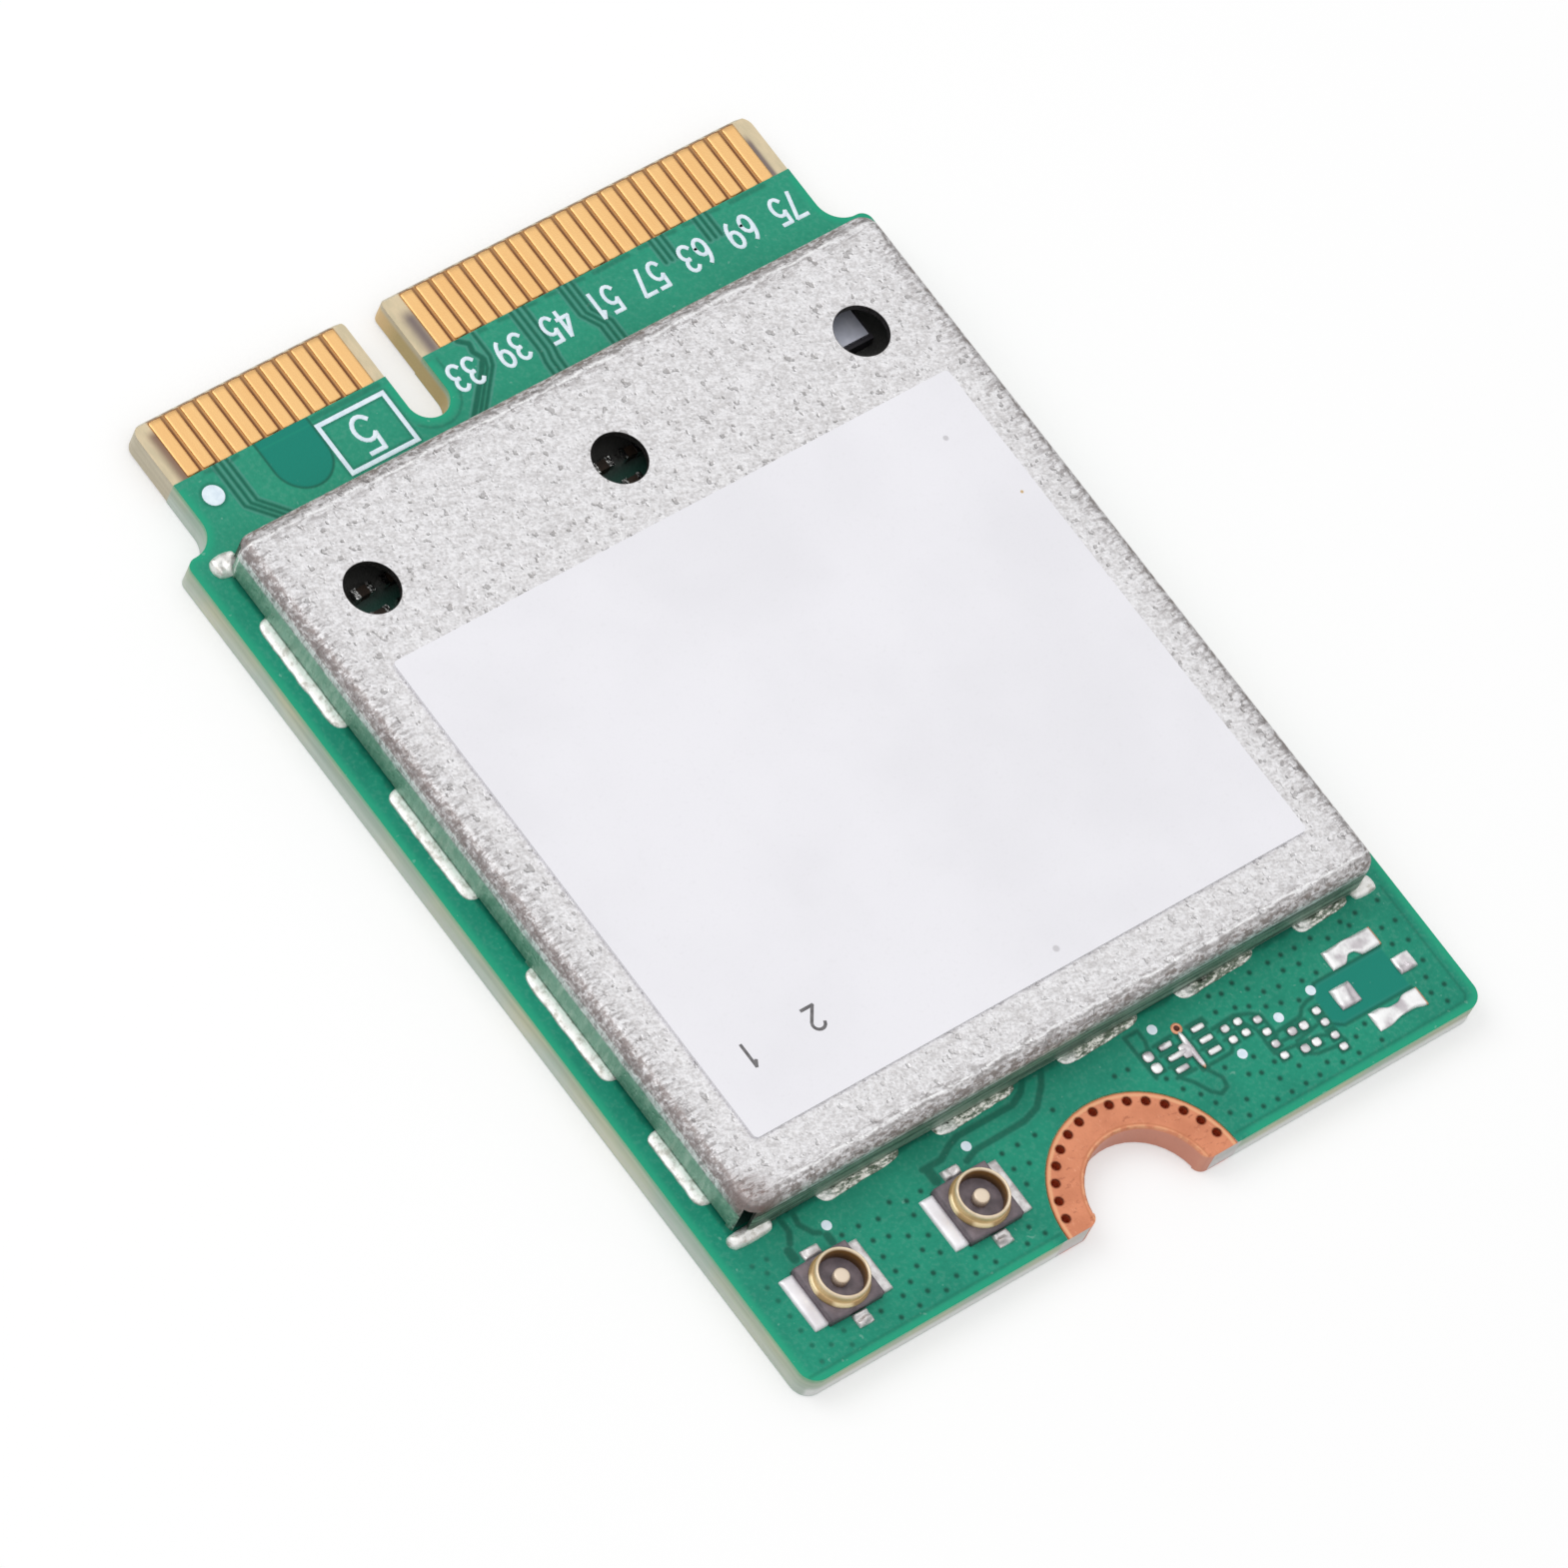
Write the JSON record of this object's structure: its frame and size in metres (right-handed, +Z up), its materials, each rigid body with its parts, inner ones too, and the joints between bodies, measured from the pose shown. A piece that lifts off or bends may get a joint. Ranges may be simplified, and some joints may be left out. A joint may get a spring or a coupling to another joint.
{
  "type": "laptop wireless card",
  "caption": "Small plug-in wireless card: green board with a gold edge connector, soldered metal shield lid and round antenna sockets.",
  "frame": {"origin": "middle of the card's footprint, on its underside", "axes": "+Y towards the gold contact edge, +Z up through the shield lid, +X to the right seen from above with the contact edge away"},
  "size_m": [0.022, 0.03, 0.0022],
  "materials": {
    "board_laminate": "green lacquer, satin, on tan glass-fibre laminate",
    "contact_gold": "gold plated, satin",
    "ring_copper": "bare copper, matte",
    "tinned_sheet": "matte tinned, grainy",
    "label_paper": "matte white",
    "solder": "bright, lumpy",
    "test_pad_ink": "pale, satin",
    "chip_resin": "matte moulded resin",
    "coil_ferrite": "matte pressed ferrite",
    "crystal_ceramic": "matte",
    "crystal_metal": "brushed",
    "capacitor_ceramic": "matte tan",
    "resistor_ceramic": "matte black glaze",
    "filter_ceramic": "matte",
    "end_cap_tin": "tinned",
    "shell_gold": "pale gold plated, bright",
    "socket_plastic": "dark grey-brown moulding"
  },
  "bodies": {
    "root": {"antenna_1_amplifier": "chip_resin", "antenna_1_amplifier_lands": "solder", "antenna_1_base": "socket_plastic", "antenna_1_filter": "filter_ceramic", "antenna_1_filter_lands": "solder", "antenna_1_ground_shell": "shell_gold", "antenna_1_signal_contact": "shell_gold", "antenna_1_solder": "solder", "antenna_2_amplifier": "chip_resin", "antenna_2_amplifier_lands": "solder", "antenna_2_base": "socket_plastic", "antenna_2_filter": "filter_ceramic", "antenna_2_filter_lands": "solder", "antenna_2_ground_shell": "shell_gold", "antenna_2_signal_contact": "shell_gold", "antenna_2_solder": "solder", "capacitor_bodies": "capacitor_ceramic", "capacitor_end_caps": "end_cap_tin", "circuit_board": "board_laminate", "contacts_bottom_long_row": "contact_gold", "contacts_bottom_short_row": "contact_gold", "contacts_top_long_row": "contact_gold", "contacts_top_short_row": "contact_gold", "crystal_case": "crystal_ceramic", "crystal_lands": "solder", "crystal_lid": "crystal_metal", "matching_network_pads": "solder", "mounting_ground_ring": "ring_copper", "power_coil": "coil_ferrite", "power_coil_lands": "solder", "power_regulator": "chip_resin", "power_regulator_lands": "solder", "radio_chip": "chip_resin", "radio_chip_lands": "solder", "resistor_bodies": "resistor_ceramic", "resistor_end_caps": "end_cap_tin", "settings_memory": "chip_resin", "settings_memory_lands": "solder", "shield_can": "tinned_sheet", "shield_label": "label_paper", "shield_solder_back": "solder", "shield_solder_corners": "solder", "shield_solder_front": "solder", "shield_solder_left": "solder", "shield_solder_right": "solder", "spare_receptacle_pads": "solder", "test_pads": "test_pad_ink"}
  },
  "joints": []
}
